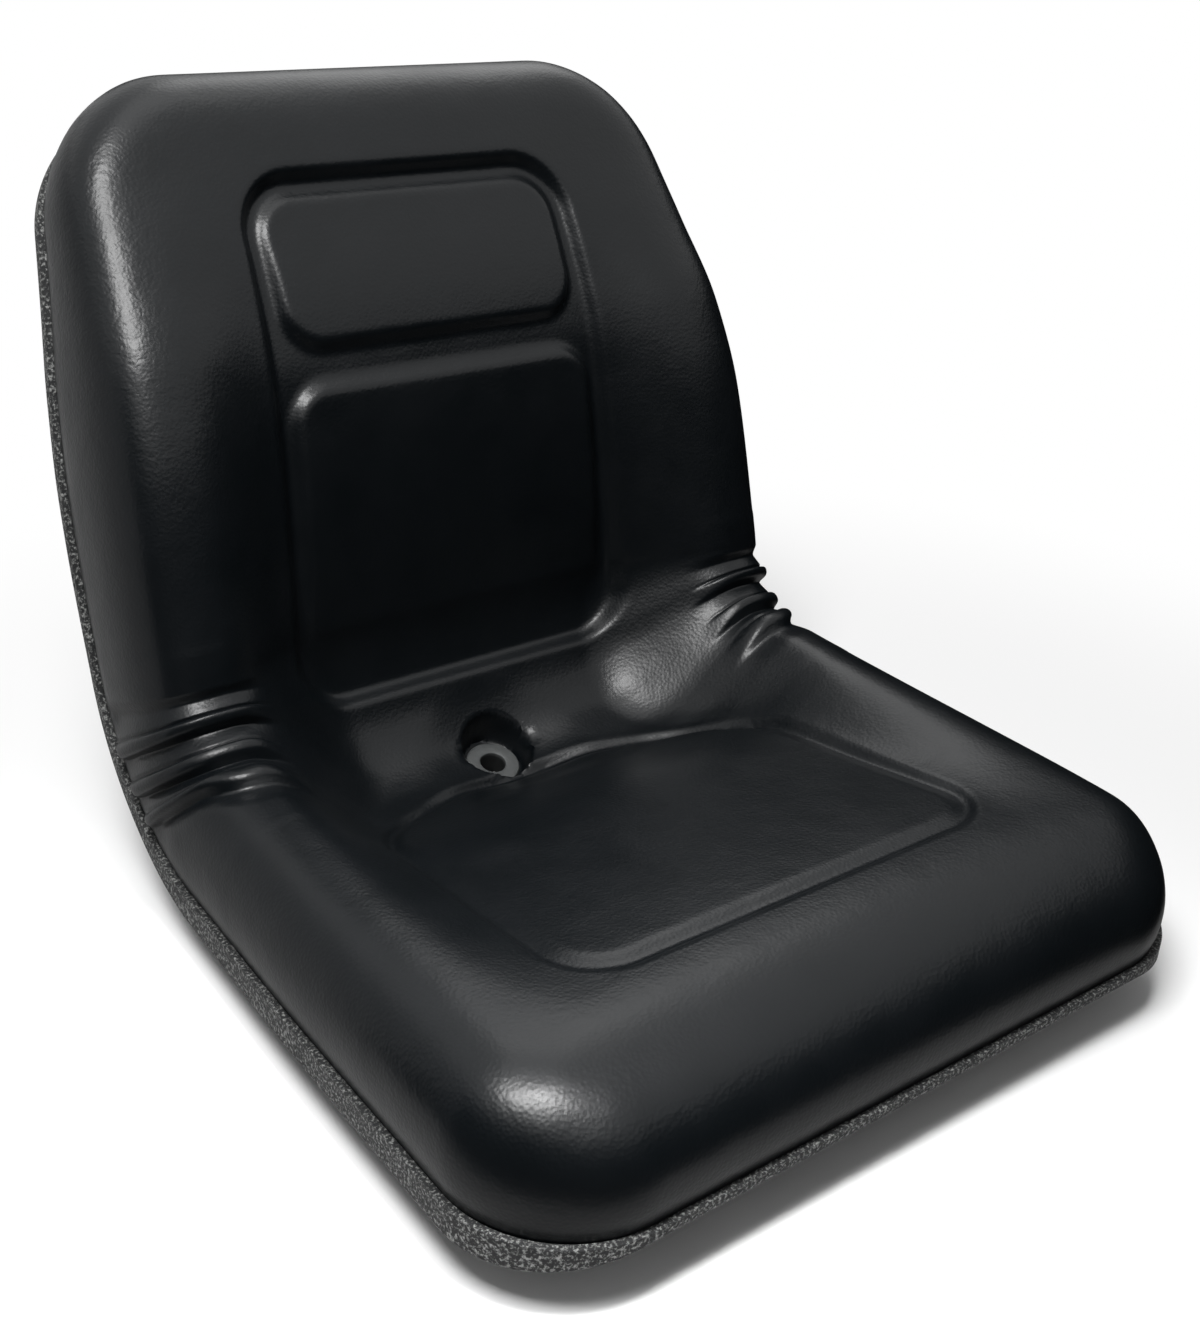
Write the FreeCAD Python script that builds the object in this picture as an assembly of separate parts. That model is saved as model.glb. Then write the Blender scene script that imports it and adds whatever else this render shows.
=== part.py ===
import FreeCAD, Part
import math
import os

# High-back seat of a ride-on mower: a seamless foam and vinyl cushion in a moulded plastic pan.
# Millimetres and degrees. The origin is the centre of the four seat bolts on the flat underside.
# The sitter faces -Y, +X is the sitter's left and +Z is up.

# Seam line in side view: level under the seat, a bend, the lower back, then a gentle sweep rearward.
seam_height = 43.0
front_reach = 194.0
seat_run = 342.0
bend_radius = 125.0
recline = 17.6
lower_back_run = 110.0
sweep_radius = 1150.0
sweep_turn = 10.6

# Half widths of the seam line, from the front to the top.
front_half_width = 236.0
bend_half_width = 230.5
back_half_width = 227.0
top_half_width = 194.0
front_corner = 68.0
top_corner = 68.0

# Heights of the cushion above the seam line: side bolsters, then the hollow between them.
nose_height = 67.0
nose_crest = 65.0
nose_wall = 22.0
nose_round = 58.0
seat_bolster = 69.0
bend_bolster = 74.0
lower_back_bolster = 90.0
back_bolster = 94.0
upper_bolster = 89.0
upper_bolster_run = 55.0
shoulder_bolster = 72.0
shoulder_run = 120.0
top_bolster = 58.0
top_wall = 22.0
top_round = 44.0
panel_front_height = 65.0
panel_rear_height = 33.0
bend_hollow = 17.0
lip_run = 97.0
lip_height = 27.0
lower_back_height = 45.0
lumbar_run = 40.0
lumbar_height = 70.0
top_height = 57.0
bolster_inset = 38.0
bolster_bulge = 6.0
seat_hollow = 139.0
back_hollow = 112.0

# Pleats across the bolsters in the bend.
pleat_notches = 4
pleat_start = 8.0
pleat_pitch = 13.0
pleat_depth = 5.0

# Sections that the forms are drawn through, between the marks of the seam line.
corner_steps = 6
knee_steps = 4
wall_steps = 6
slope_steps = 5
seat_steps = 5
bend_steps = 2
back_steps = 3

# Recess of the back with its two pads, set out on a plane from the lip at its foot.
recess_tilt = 15.4
recess_foot_half = 123.0
recess_top_half = 112.0
recess_length = 315.0
recess_corner = 34.0
recess_depth = 5.0
pad_margin = 8.0
pad_corner = 28.0
lower_pad_foot = 14.0
lower_pad_length = 186.0
pad_gap = 11.0

# Lowered panel of the seat.
panel_front = 89.0
panel_rear = 311.0
panel_front_half = 148.0
panel_rear_half = 142.0
panel_bow = 24.0
panel_bow_radius = 260.0
panel_corner = 38.0
panel_depth = 3.5

# Moulded pan: wall, rim band along the seam, sloping sides and floor. The band is narrow on the back.
pan_wall = 4.0
rim_band = 17.0
back_rim_band = 6.5
least_rim = 0.5
floor_drop = 12.0
back_floor_drop = 17.5
floor_inset = 45.0
end_tuck = 60.0
end_depth_share = 0.25
cushion_fit = 0.4

# Ribs and bosses under the pan, all ending on the mounting plane.
bolt_spacing_x = 285.75
bolt_spacing_y = 203.2
boss_radius = 15.0
rib_thickness = 3.5
rib_frame_half_x = 168.0
rib_frame_front = 138.0
rib_frame_rear = 196.0

# Threaded inserts for the seat bolts.
insert_bore_radius = 4.0
insert_radius = 6.0
insert_flange_radius = 8.0
insert_flange = 1.6
insert_length = 12.0
insert_fit = 0.2

# Drain eyelet at the foot of the back, in a round well at the bottom of a bowl in the cushion.
drain_run = 38.0
drain_depth = 11.0
drain_flange_radius = 18.0
drain_flange = 3.0
drain_barrel_radius = 11.5
drain_bore_radius = 8.4
drain_spout = 5.0
drain_fit = 0.3
well_clearance = 3.0
bowl_radius = 44.0
bowl_depth = 7.0

# How far the cutting shapes reach beyond the forms that they cut.
cut_reach = 80.0

os.makedirs("parts", exist_ok=True)

vector = FreeCAD.Vector
bend_turn = math.radians(90.0 - recline)
run_bend = seat_run
run_back = run_bend + bend_radius * bend_turn
run_sweep = run_back + lower_back_run
run_top = run_sweep + sweep_radius * math.radians(sweep_turn)


def seam(run):
    """Point (y, z) of the seam line at a run from the front, and the slope angle there."""
    turn = min(max((run - run_bend) / bend_radius, 0.0), bend_turn)
    y = min(run, run_bend) - front_reach + bend_radius * math.sin(turn)
    z = seam_height + bend_radius * (1.0 - math.cos(turn))
    straight = min(max(run - run_back, 0.0), lower_back_run)
    y += straight * math.cos(bend_turn)
    z += straight * math.sin(bend_turn)
    if run > run_sweep:
        turn = bend_turn - (run - run_sweep) / sweep_radius
        y += sweep_radius * (math.sin(bend_turn) - math.sin(turn))
        z += sweep_radius * (math.cos(turn) - math.cos(bend_turn))
    return y, z, turn


def place(run, x, height):
    """Point at x across the seat and a height above the seam line."""
    y, z, slope = seam(run)
    return vector(x, y - height * math.sin(slope), z + height * math.cos(slope))


def along(run, stations):
    """Value at a run, between the two stations on either side of it."""
    for (run_a, a), (run_b, b) in zip(stations, stations[1:]):
        if run <= run_b:
            share = min(max((run - run_a) / (run_b - run_a), 0.0), 1.0)
            return a + share * (b - a)
    return stations[-1][1]


width_stations = [
    (0.0, front_half_width),
    (run_bend, bend_half_width),
    (run_back, back_half_width),
    (run_sweep, back_half_width),
    (run_top, top_half_width),
]
bolster_stations = [
    (nose_crest, nose_height),
    (panel_front, seat_bolster),
    (run_bend, bend_bolster),
    (run_back, lower_back_bolster),
    (run_sweep, back_bolster),
    (run_sweep + upper_bolster_run, upper_bolster),
    (run_sweep + shoulder_run, shoulder_bolster),
    (run_top, top_bolster),
]
hollow_stations = [
    (nose_crest, nose_height),
    (panel_front, panel_front_height),
    (panel_rear, panel_rear_height),
    (run_bend + drain_run, bend_hollow),
    (run_bend + lip_run, lip_height),
    (run_back, lower_back_height),
    (run_sweep + lumbar_run, lumbar_height),
    (run_top, top_height),
]
hollow_width_stations = [
    (panel_rear, seat_hollow),
    (run_back, back_hollow),
]
band_stations = [
    (run_bend, rim_band),
    (run_back, back_rim_band),
]
drop_stations = [
    (run_bend, floor_drop),
    (run_back, back_floor_drop),
]


def half_width(run, grow):
    """Half width of the seam outline grown by a margin, with its corners rounded."""
    width = along(run, width_stations) + grow
    for inward, corner in ((run, front_corner), (run_top - run, top_corner)):
        radius = corner + grow
        short = max(radius - (inward + grow), 0.0)
        width -= radius - math.sqrt(max(radius ** 2 - short ** 2, 0.0))
    return width


def end_rise(inward, length):
    """Share of the full height at a distance in from an end, as a quarter ellipse."""
    short = max(1.0 - inward / length, 0.0)
    return math.sqrt(max(1.0 - short ** 2, 0.0))


def ended(run, height):
    """Height of the cushion near its rounded nose and top."""
    height = nose_wall + (height - nose_wall) * end_rise(run, nose_round)
    return top_wall + (height - top_wall) * end_rise(run_top - run, top_round)


def pan_depth(run):
    """Depth of the pan's floor below the seam line, away from the ends."""
    return along(run, band_stations) + along(run, drop_stations)


def tray_points(run, grow, inset):
    """Right half of the pan's section: seam, foot of the rim band and edge of the floor."""
    width = half_width(run, grow)
    inward = min(run, run_top - run) + pan_wall
    share = end_depth_share + (1.0 - end_depth_share) * end_rise(inward, end_tuck)
    rim = max(along(run, band_stations) * share - inset, least_rim)
    floor = pan_depth(run) * share - inset
    return [(width, 0.0), (width, -rim), (width - floor_inset, -floor)]


def curve(start, lead_out, lead_in, end, steps):
    """Points after the start of a cubic curve, drawn by its two leads as chords."""
    points = []
    for step in range(1, steps + 1):
        share = step / steps
        rest = 1.0 - share
        weights = (rest ** 3, 3.0 * rest ** 2 * share, 3.0 * rest * share ** 2, share ** 3)
        poles = (start, lead_out, lead_in, end)
        points.append(tuple(sum(w * pole[axis] for w, pole in zip(weights, poles)) for axis in (0, 1)))
    return points


def section(run, right):
    """Closed section from the right half of its outline, floor edge first."""
    outline = right + [(-x, height) for x, height in reversed(right)]
    points = [place(run, x, height) for x, height in outline]
    return Part.makePolygon(points + points[:1])


def tray_half(seam_point, rim_foot, floor_edge):
    """Rounded side of the pan from its floor up to the seam."""
    knee = (rim_foot[0], floor_edge[1])
    under = (0.5 * (floor_edge[0] + knee[0]), knee[1])
    return [floor_edge] + curve(floor_edge, under, knee, rim_foot, knee_steps) + [seam_point]


def tray_section(run, grow, inset, lift):
    """Closed section of the pan, with its open side lifted above the seam line."""
    (width, _), rim_foot, floor_edge = tray_points(run, grow, inset)
    return section(run, tray_half((width, lift), rim_foot, floor_edge))


def cushion_section(run, pleat):
    """Closed section of the cushion: plug in the pan, side walls, bolsters and hollow."""
    seam_point, rim_foot, floor_edge = tray_points(run, -cushion_fit, pan_wall + cushion_fit)
    width = seam_point[0]
    share = width / along(run, width_stations)
    top = ended(run, along(run, bolster_stations)) - pleat
    level = ended(run, along(run, hollow_stations))
    hollow = (along(run, hollow_width_stations) * share, level)
    crest = (width - bolster_inset * share, top)
    wall = width + (bolster_bulge - pleat) * share
    middle = 0.5 * (crest[0] + hollow[0])
    right = tray_half(seam_point, rim_foot, floor_edge)
    right += curve(seam_point, (wall, 0.5 * top), (wall, top), crest, wall_steps)
    right += curve(crest, (middle, top), (middle, level), hollow, slope_steps)
    return section(run, right)


def end_runs(corner):
    """Distances in from an end at which sections follow the rounded corner."""
    step = math.radians(90.0 / corner_steps)
    return [corner * (1.0 - math.cos(step * index)) for index in range(corner_steps + 1)]


def spread(start, end, steps):
    """Runs evenly spaced from a start, without the end."""
    return [start + (end - start) * step / steps for step in range(steps)]


def section_runs():
    """Runs of all sections from the front to the top, each with its pleat depth."""
    pleat_steps = 2 * pleat_notches - 1
    run_pleat = run_bend + bend_radius * math.radians(pleat_start)
    run_plain = run_pleat + bend_radius * math.radians(0.5 * pleat_pitch * pleat_steps)
    before = end_runs(front_corner)
    before += spread(panel_front, run_bend, seat_steps)
    before.append(run_bend)
    pleats = spread(run_pleat, run_plain, pleat_steps)
    after = spread(run_plain, run_back, bend_steps)
    after += spread(run_back, run_sweep, back_steps)
    after += spread(run_sweep, run_top - top_corner, back_steps)
    after += [run_top - inward for inward in reversed(end_runs(top_corner))]
    runs = [(run, 0.0) for run in before]
    runs += [(run, pleat_depth * (1 - step % 2)) for step, run in enumerate(pleats)]
    return runs + [(run, 0.0) for run in after]


def seat_loft(grow, make_section):
    """Solid through all sections, with both ends moved out by the grown margin."""
    runs = section_runs()
    runs[0] = (-grow, 0.0)
    runs[-1] = (run_top + grow, 0.0)
    return Part.makeLoft([make_section(run, pleat) for run, pleat in runs], True, True)


def tray(grow, inset, lift):
    """Solid inside one outline of the pan."""
    def make_section(run, pleat):
        return tray_section(run, grow, inset, lift)

    return seat_loft(grow, make_section)


def cushion_form():
    """Cushion with its pleats, before the panels are sunk into it."""
    return seat_loft(-cushion_fit, cushion_section)


def rounded_face(corners, radii, frame):
    """Flat face with rounded corners; frame turns plane coordinates into points in space."""
    edges = []
    ends = []
    count = len(corners)
    for index, radius in enumerate(radii):
        corner = vector(*corners[index], 0.0)
        to_last = (vector(*corners[index - 1], 0.0) - corner).normalize()
        to_next = (vector(*corners[(index + 1) % count], 0.0) - corner).normalize()
        half = 0.5 * to_last.getAngle(to_next)
        reach = radius / math.tan(half)
        middle = (to_last + to_next).normalize() * (radius / math.sin(half) - radius)
        ends.append((corner + to_last * reach, corner + middle, corner + to_next * reach))
    for index, (start, middle, end) in enumerate(ends):
        edges.append(Part.Arc(frame(start), frame(middle), frame(end)).toShape())
        edges.append(Part.makeLine(frame(end), frame(ends[(index + 1) % count][0])))
    return Part.Face(Part.Wire(edges))


recess_foot = place(run_bend + lip_run, 0.0, lip_height)
recess_up = vector(0.0, math.sin(math.radians(recess_tilt)), math.cos(math.radians(recess_tilt)))
recess_out = vector(0.0, -recess_up.z, recess_up.y)


def back_prism(low, high, margin, corner):
    """Prism through the back between two heights above the recess foot."""
    def half(height):
        return recess_foot_half + (recess_top_half - recess_foot_half) * height / recess_length - margin

    corners = [(half(low), low), (half(high), high), (-half(high), high), (-half(low), low)]

    def frame(point):
        return recess_foot + vector(point.x, 0.0, 0.0) + recess_up * point.y - recess_out * cut_reach

    return rounded_face(corners, [corner] * 4, frame).extrude(recess_out * (2.0 * cut_reach))


def recess_ring():
    """Band of the back around and between the two pads."""
    lower_top = lower_pad_foot + lower_pad_length
    band = back_prism(0.0, recess_length, 0.0, recess_corner)
    lower = back_prism(lower_pad_foot, lower_top, pad_margin, pad_corner)
    upper = back_prism(lower_top + pad_gap, recess_length - pad_margin, pad_margin, pad_corner)
    return band.cut(lower).cut(upper)


def panel_prism():
    """Prism through the seat inside the outline of its lowered panel."""
    front = panel_front - front_reach
    rear = panel_rear - front_reach
    corners = [
        (panel_front_half, front),
        (panel_rear_half, rear),
        (0.0, rear + panel_bow),
        (-panel_rear_half, rear),
        (-panel_front_half, front),
    ]
    radii = [panel_corner, panel_corner, panel_bow_radius, panel_corner, panel_corner]

    def frame(point):
        return vector(point.x, point.y, seam_height)

    return rounded_face(corners, radii, frame).extrude(vector(0.0, 0.0, 2.0 * cut_reach))


def sunk(form, prism, shift):
    """Form with its skin inside a prism moved inward by a shift."""
    lowered = form.copy()
    lowered.translate(shift)
    return form.cut(form.common(prism).cut(lowered))


drain_axis_run = run_bend + drain_run
drain_up = place(drain_axis_run, 0.0, 1.0) - place(drain_axis_run, 0.0, 0.0)
floor_depth = pan_depth(drain_axis_run)


def drain_cylinder(radius, low, high):
    return Part.makeCylinder(radius, high - low, place(drain_axis_run, 0.0, low), drain_up)


def drain_hole():
    """Bowl, well, seat of the flange and bore through the cushion."""
    bowl = Part.makeSphere(bowl_radius, place(drain_axis_run, 0.0, bowl_radius - bowl_depth))
    well = drain_cylinder(drain_flange_radius + well_clearance, -drain_depth, bowl_depth)
    seat = drain_cylinder(drain_flange_radius + drain_fit, -drain_depth - drain_flange, -drain_depth)
    bore = drain_cylinder(drain_barrel_radius + drain_fit, -floor_depth, -drain_depth)
    return bowl.fuse([well, seat, bore])


def seat_cushion():
    form = cushion_form()
    form = sunk(form, recess_ring(), recess_out * -recess_depth)
    form = sunk(form, panel_prism(), vector(0.0, 0.0, -panel_depth))
    return form.cut(drain_hole())


def bolt_places():
    return [
        vector(side * 0.5 * bolt_spacing_x, end * 0.5 * bolt_spacing_y, 0.0)
        for side in (-1, 1)
        for end in (-1, 1)
    ]


def rib(x_low, x_high, y_low, y_high):
    return Part.makeBox(x_high - x_low, y_high - y_low, seam_height, vector(x_low, y_low, 0.0))


def rib_grid():
    """Frame of ribs, ribs through the boss rows and the bosses themselves."""
    half = 0.5 * rib_thickness
    ribs = []
    for x in (-rib_frame_half_x, -0.5 * bolt_spacing_x, 0.0, 0.5 * bolt_spacing_x, rib_frame_half_x):
        ribs.append(rib(x - half, x + half, -rib_frame_front - half, rib_frame_rear + half))
    for y in (-rib_frame_front, -0.5 * bolt_spacing_y, 0.0, 0.5 * bolt_spacing_y, rib_frame_rear):
        ribs.append(rib(-rib_frame_half_x - half, rib_frame_half_x + half, y - half, y + half))
    for spot in bolt_places():
        ribs.append(Part.makeCylinder(boss_radius, seam_height, spot))
    return ribs


def seat_pan():
    outer = tray(pan_wall, 0.0, 0.0).fuse(rib_grid())
    hollow = tray(0.0, pan_wall, pan_wall)
    pan = outer.cut(hollow)
    for spot in bolt_places():
        pan = pan.cut(Part.makeCylinder(insert_radius + insert_fit, insert_length + insert_fit, spot))
        pan = pan.cut(Part.makeCylinder(insert_flange_radius + insert_fit, insert_flange, spot))
    hole_radius = drain_barrel_radius + drain_fit
    spout_hole = drain_cylinder(hole_radius, -floor_depth - seam_height, -floor_depth + 2.0 * pan_wall)
    return pan.cut(spout_hole)


def drain_bush():
    flange = drain_cylinder(drain_flange_radius, -drain_depth - drain_flange, -drain_depth)
    barrel = drain_cylinder(drain_barrel_radius, -floor_depth - drain_spout, -drain_depth - drain_flange)
    bore = drain_cylinder(drain_bore_radius, -floor_depth - 2.0 * drain_spout, drain_spout)
    return flange.fuse(barrel).cut(bore)


def mount_insert(spot):
    flange = Part.makeCylinder(insert_flange_radius, insert_flange, spot)
    body = Part.makeCylinder(insert_radius, insert_length, spot)
    bore = Part.makeCylinder(insert_bore_radius, insert_length, spot)
    return flange.fuse(body).cut(bore)


nodes = {
    "seat_cushion": seat_cushion(),
    "seat_pan": seat_pan(),
    "drain_bush": drain_bush(),
    "mount_inserts": Part.Compound([mount_insert(spot) for spot in bolt_places()]),
}
for name, shape in nodes.items():
    shape.exportStep("parts/" + name + ".step")
    print(name, len(shape.Solids), shape.isValid(), round(shape.Volume / 1000.0, 1), shape.BoundBox)
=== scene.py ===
import math
import bmesh
import bpy
import numpy as np
from mathutils import Matrix, Quaternion, Vector


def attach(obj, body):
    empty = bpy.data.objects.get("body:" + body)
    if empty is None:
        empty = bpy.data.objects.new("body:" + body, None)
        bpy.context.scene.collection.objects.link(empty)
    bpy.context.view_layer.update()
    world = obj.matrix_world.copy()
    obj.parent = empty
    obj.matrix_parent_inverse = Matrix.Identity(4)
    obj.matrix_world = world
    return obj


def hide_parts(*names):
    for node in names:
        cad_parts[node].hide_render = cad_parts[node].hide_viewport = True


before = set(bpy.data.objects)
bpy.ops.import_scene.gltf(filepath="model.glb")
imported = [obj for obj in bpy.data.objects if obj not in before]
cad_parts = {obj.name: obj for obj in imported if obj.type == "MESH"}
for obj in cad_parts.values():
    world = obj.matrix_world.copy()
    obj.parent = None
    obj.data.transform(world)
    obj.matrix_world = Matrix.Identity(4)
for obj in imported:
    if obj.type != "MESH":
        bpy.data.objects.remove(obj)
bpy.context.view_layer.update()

# Seat pan: the stiff tray under and behind the cushion, with a rim band along the seam and ribs below.
# It is one injection moulding in black polypropylene with a coarse moulded texture, and its four
# bosses take the seat bolts. Sizes are in millimetres, measured along and square to the seam line.
mm = 0.001
front_reach = 194.0
seam_height = 43.0
seat_run = 342.0
bend_radius = 125.0
bend_turn = math.radians(72.4)
back_run = seat_run + bend_radius * bend_turn
sweep_run = back_run + 110.0
sweep_radius = 1150.0
top_run = sweep_run + sweep_radius * math.radians(10.6)
half_widths = [(0, 236), (200, 235), (342, 231), (420, 229), (545, 228), (604, 226),
               (661, 220.5), (715, 212), (823, 194)]
outline_corner = 68.0
pan_wall = 4.0
rim_band = 17.0
back_rim_band = 6.5
seat_floor_drop = 12.0
back_floor_drop = 17.5
floor_inset = 45.0
end_tuck = 60.0
end_depth_share = 0.25
tray_columns = 130
tray_rows = 190
tray_side_share = 0.4
tray_end_share = 0.24
bend_rows = [(-0.2, 342), (0.2, 500)]
core_share = 0.3
rim_share = 0.3
floor_share = 0.85
knee_power = 0.6
bolt_x = 142.875
bolt_y = 101.6
rib_half = 1.75
rib_side = 168.0
rib_front = -138.0
rib_rear = 196.0
rib_cuts = 15
boss_radius = 15.0
boss_top = 17.0
boss_steps = 40
flange_seat_radius = 8.2
flange_seat_depth = 1.6
insert_hole_radius = 6.2
insert_hole_depth = 12.2
drain_run = 380.0
drain_reach = 60.0
spout_radius = 11.8
sharp_angle = math.radians(40.0)


def seam_line(run):
    """Place (y, z) and slope of the seam line in side view, at a run from the front."""
    turn = np.clip((run - seat_run) / bend_radius, 0.0, bend_turn)
    straight = np.clip(run - back_run, 0.0, sweep_run - back_run)
    slope = turn - np.maximum(run - sweep_run, 0.0) / sweep_radius
    y = np.minimum(run, seat_run) - front_reach + bend_radius * np.sin(turn)
    y += straight * math.cos(bend_turn) + sweep_radius * (np.sin(turn) - np.sin(slope))
    z = seam_height + bend_radius * (1.0 - np.cos(turn))
    z += straight * math.sin(bend_turn) + sweep_radius * (np.cos(slope) - np.cos(turn))
    return y, z, slope


def set_on_seam(x, run, height):
    """Points in space at x across the seat and a height square to the seam line."""
    y, z, slope = seam_line(run)
    return np.stack([x, y - height * np.sin(slope), z + height * np.cos(slope)], axis=1)


def eased(run, marks):
    """Value at a run on a smooth line through marks of (run, value)."""
    at, value = np.array(marks, float).T
    rise = np.diff(value) / np.diff(at)
    slope = np.concatenate([rise[:1], np.zeros(len(rise) - 1), rise[-1:]])
    steady = rise[:-1] * rise[1:] > 0.0
    slope[1:-1][steady] = 2.0 / (1.0 / rise[:-1][steady] + 1.0 / rise[1:][steady])
    here = np.clip(np.searchsorted(at, run) - 1, 0, len(rise) - 1)
    length = at[here + 1] - at[here]
    share = np.clip((run - at[here]) / length, 0.0, 1.0)
    bow = slope[here] * (1.0 - share) - slope[here + 1] * share
    lift = (value[here + 1] - value[here]) * share * share * (3.0 - 2.0 * share)
    return value[here] + lift + length * share * (1.0 - share) * bow


def ramp(low, high, value):
    """Soft step from 0 at low to 1 at high."""
    share = np.clip((value - low) / (high - low), 0.0, 1.0)
    return share * share * (3.0 - 2.0 * share)


def seat_sheet(u, v, side, end, across_marks, run_marks):
    """Spreads a square sheet over the seat's outline: a core, and a strip around it with round corners.
    The strip takes the outer share of the sheet at its sides and ends; marks inside it space the core.
    Gives the core's share across and run, the way out across and along, the corner angle and the share
    of the strip."""
    over_side = np.clip((np.abs(u) - 1.0 + side) / side, 0.0, 1.0)
    over_end = np.clip((np.abs(v) - 1.0 + end) / end, 0.0, 1.0)
    share = np.maximum(over_side, over_end)
    most = np.maximum(share, 1e-9)
    angle = np.where(over_side >= over_end, over_end / most, 2.0 - over_side / most) * math.pi / 4.0
    across_marks = [(0, 0), *across_marks, (1.0 - side, 1)]
    run_marks = [(end - 1.0, outline_corner), *run_marks, (1.0 - end, top_run - outline_corner)]
    across = np.interp(np.abs(u), *np.transpose(across_marks)) * np.sign(u)
    run = np.interp(v, *np.transpose(run_marks))
    out_x = np.cos(angle) * np.sign(u) * (over_side > 0.0)
    out_run = np.sin(angle) * np.sign(v) * (over_end > 0.0)
    return across, run, out_x, out_run, angle, share


def core_x(across, run):
    """Half width of the outline less its strip, by the share across."""
    return across * (eased(np.clip(run, 0.0, top_run), half_widths) - outline_corner)


def formed_grid(bm, columns, rows, form):
    """Adds a grid, from -1 to 1 both ways, and moves its points to where the form puts them."""
    verts = bmesh.ops.create_grid(bm, x_segments=columns, y_segments=rows, size=1.0)["verts"]
    flat = np.array([vert.co for vert in verts])
    for vert, spot in zip(verts, form(flat[:, 0], flat[:, 1])):
        vert.co = spot
    bm.normal_update()
    return verts, flat


def band_and_drop(run):
    """Height of the rim band at a run, and drop of the floor below it."""
    bend = [seat_run, back_run]
    band = np.interp(run, bend, [rim_band, back_rim_band])
    return band, np.interp(run, bend, [seat_floor_drop, back_floor_drop])


def end_depth(run, grow):
    """Share of its full depth that the tray keeps at a run: less towards its two ends."""
    short = np.maximum(1.0 - (np.minimum(run, top_run - run) + grow) / end_tuck, 0.0)
    return end_depth_share + (1.0 - end_depth_share) * np.sqrt(np.maximum(1.0 - short ** 2, 0.0))


def tray_skin(u, v):
    """Outside of the tray: floor, rounded knee and upright rim band up to the seam."""
    across, run, out_x, out_run, _, share = seat_sheet(u, v, tray_side_share, tray_end_share, [], bend_rows)
    knee = ramp(rim_share, 1.0, 1.0 - share) ** knee_power
    reach = (outline_corner + pan_wall - floor_inset * knee) * np.clip(share / core_share, 0.0, 1.0)
    run = run + out_run * reach
    band, drop = band_and_drop(run)
    below_seam = band * np.clip((1.0 - share) / rim_share, 0.0, 1.0)
    below_seam = below_seam + drop * ramp(rim_share, floor_share, 1.0 - share)
    return set_on_seam(core_x(across, run) + out_x * reach, run, -end_depth(run, pan_wall) * below_seam)


def under_floor(y):
    """Height of the tray's underside on its middle line."""
    floor_radius = bend_radius + rim_band + seat_floor_drop
    lean = np.arcsin(np.clip((y - (seat_run - front_reach)) / floor_radius, 0.0, 1.0))
    return seam_height + bend_radius - floor_radius * np.cos(lean)


def drain_point(depth):
    """Point on the drain's axis, at a depth below the seam line."""
    return Vector(set_on_seam(np.array([0.0]), np.array([drain_run]), np.array([-depth]))[0])


drain_centre = drain_point(0.0)
drain_axis = (drain_centre - drain_point(1.0)).normalized()


def by_drain(spot):
    """Whether a spot lies near the drain."""
    return (spot - drain_centre).length < drain_reach


def beside_drain(spot):
    """Way from the drain's axis to a spot, square to the axis."""
    offset = spot - drain_centre
    return offset - drain_axis * offset.dot(drain_axis)


def rib(x_low, x_high, y_low, y_high):
    """Upright rib from the mounting plane into the tray's floor: a low bar with its top raised."""
    bm = bmesh.new()
    bar_height = 2.0
    size = Matrix.Diagonal((x_high - x_low, y_high - y_low, bar_height, 1.0))
    middle = Matrix.Translation((0.5 * (x_low + x_high), 0.5 * (y_low + y_high), 0.5 * bar_height))
    bmesh.ops.create_cube(bm, size=1.0, matrix=middle @ size)
    longest = max(x_high - x_low, y_high - y_low)
    long_edges = [edge for edge in bm.edges if edge.calc_length() > 0.9 * longest]
    bmesh.ops.subdivide_edges(bm, edges=long_edges, cuts=rib_cuts, use_grid_fill=True)
    for vert in bm.verts:
        if vert.co.z > 0.5 * bar_height:
            vert.co.z = under_floor(vert.co.y) + 0.5 * pan_wall
    return bm


def turned(profile, steps, place):
    """Shape turned about the upright axis from a profile of (radius, height), then moved to its place."""
    bm = bmesh.new()
    ring = [bm.verts.new((radius, 0.0, height)) for radius, height in profile]
    edges = [bm.edges.new(pair) for pair in zip(ring, ring[1:])]
    bmesh.ops.spin(bm, geom=ring + edges, axis=(0, 0, 1), cent=(0, 0, 0), dvec=(0, 0, 0),
                   angle=math.tau, steps=steps, use_merge=True)
    bmesh.ops.remove_doubles(bm, verts=bm.verts, dist=0.01)
    bmesh.ops.recalc_face_normals(bm, faces=bm.faces)
    bmesh.ops.transform(bm, matrix=place, verts=bm.verts)
    return bm


def joined(parts):
    """One mesh from several."""
    whole = bmesh.new()
    for part in parts:
        mesh = bpy.data.meshes.new("part")
        part.to_mesh(mesh)
        part.free()
        whole.from_mesh(mesh)
        bpy.data.meshes.remove(mesh)
    return whole


def add_piece(name, bm, material):
    """Object with its place in its mesh, in metres, smooth except at its sharp edges."""
    bmesh.ops.scale(bm, vec=(mm, mm, mm), verts=bm.verts)
    mesh = bpy.data.meshes.new(name)
    bm.to_mesh(mesh)
    bm.free()
    for face in mesh.polygons:
        face.use_smooth = True
    mesh.set_sharp_from_angle(angle=sharp_angle)
    mesh.materials.append(material)
    piece = bpy.data.objects.new(name, mesh)
    bpy.context.scene.collection.objects.link(piece)
    return piece


def add_node(tree, kind, inputs, **settings):
    """Adds a node with its settings; each input is a value, or a socket to link from."""
    node = tree.nodes.new(kind)
    for name, value in settings.items():
        setattr(node, name, value)
    for key, value in inputs.items():
        if isinstance(value, bpy.types.NodeSocket):
            tree.links.new(value, node.inputs[key])
        else:
            node.inputs[key].default_value = value
    return node


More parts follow.
